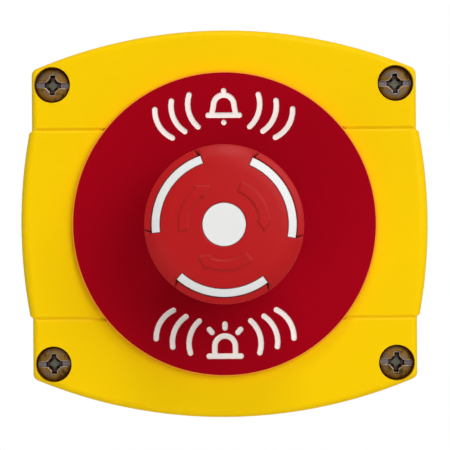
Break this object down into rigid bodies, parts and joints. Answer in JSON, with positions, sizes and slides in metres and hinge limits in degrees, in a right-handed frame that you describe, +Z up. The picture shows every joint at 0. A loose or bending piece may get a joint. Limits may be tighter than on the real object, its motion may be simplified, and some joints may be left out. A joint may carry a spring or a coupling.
{
  "type": "panic button",
  "caption": "Wall-mounted panic button: a red twist-release mushroom head and round legend plate on a yellow enclosure, with contact blocks inside.",
  "frame": {"origin": "middle of the enclosure's flat back face, in the plane of the wall", "axes": "+Z up, +X to the right as seen by the user, -Y out of the wall towards the user"},
  "size_m": [0.1072, 0.091, 0.102],
  "materials": {
    "cover_plastic": "satin moulded yellow ABS",
    "box_plastic": "fine-textured dark grey ABS",
    "gasket_rubber": "black foam rubber",
    "passivated_steel": "yellow-passivated zinc plating",
    "insert_brass": "turned",
    "plate_laminate": "satin red laminate with a white core",
    "black_plastic": "moulded",
    "head_plastic": "satin moulded red",
    "white_plastic": "moulded",
    "grey_plastic": "moulded",
    "nut_plastic": "moulded",
    "spring_steel": "bright drawn wire and strip",
    "carrier_metal": "die cast, as cast",
    "zinc_steel": "zinc plated",
    "block_plastic": "moulded",
    "nc_plastic": "moulded red",
    "no_plastic": "moulded green",
    "contact_brass": "stamped strip with contact rivets"
  },
  "bodies": {
    "enclosure": {"back_box": "box_plastic", "box_gasket": "gasket_rubber", "front_cover": "cover_plastic", "cover_screws": "passivated_steel", "threaded_inserts": "insert_brass", "legend_plate": "plate_laminate", "bezel_gasket": "gasket_rubber", "actuator_body": "black_plastic", "stem_seal": "gasket_rubber", "latch_clip": "spring_steel", "fixing_nut": "nut_plastic", "return_spring": "spring_steel", "block_carrier": "carrier_metal", "carrier_screw": "zinc_steel", "nc_housing": "block_plastic", "nc_side_cover": "nc_plastic", "nc_terminal_upper": "contact_brass", "nc_terminal_lower": "contact_brass", "nc_terminal_screws": "zinc_steel", "nc_spring": "spring_steel", "no_housing": "block_plastic", "no_side_cover": "no_plastic", "no_terminal_upper": "contact_brass", "no_terminal_lower": "contact_brass", "no_terminal_screws": "zinc_steel", "no_spring": "spring_steel"},
    "pusher": {"contact_pusher": "grey_plastic"},
    "head": {"mushroom_head": "head_plastic", "white_insert": "white_plastic", "head_stem": "grey_plastic"},
    "nc_contact": {"nc_plunger": "white_plastic", "nc_bridge": "contact_brass"},
    "no_contact": {"no_plunger": "white_plastic", "no_bridge": "contact_brass"}
  },
  "joints": [
    {"name": "push", "type": "slide", "parent": "enclosure", "child": "pusher", "axis": [0, 1, 0], "range_m": [0, 0.005], "stiffness_N_per_m": 2000, "springref_m": -0.004, "deforming": ["return_spring"]},
    {"name": "twist", "type": "hinge", "parent": "pusher", "child": "head", "pos_m": [0, -0.08, 0], "axis": [0, 1, 0], "range_deg": [0, 40], "stiffness_Nm_per_rad": 0.05, "springref_deg": -11.46},
    {"name": "nc_slide", "type": "slide", "parent": "enclosure", "child": "nc_contact", "axis": [0, 1, 0], "range_m": [0, 0.005], "stiffness_N_per_m": 200, "springref_m": -0.004, "deforming": ["nc_spring"]},
    {"name": "no_slide", "type": "slide", "parent": "enclosure", "child": "no_contact", "axis": [0, 1, 0], "range_m": [0, 0.005], "stiffness_N_per_m": 200, "springref_m": -0.004, "deforming": ["no_spring"]}
  ],
  "couplings": [
    {"joint": "nc_slide", "follows": "push", "ratio": 1},
    {"joint": "no_slide", "follows": "push", "ratio": 1}
  ]
}
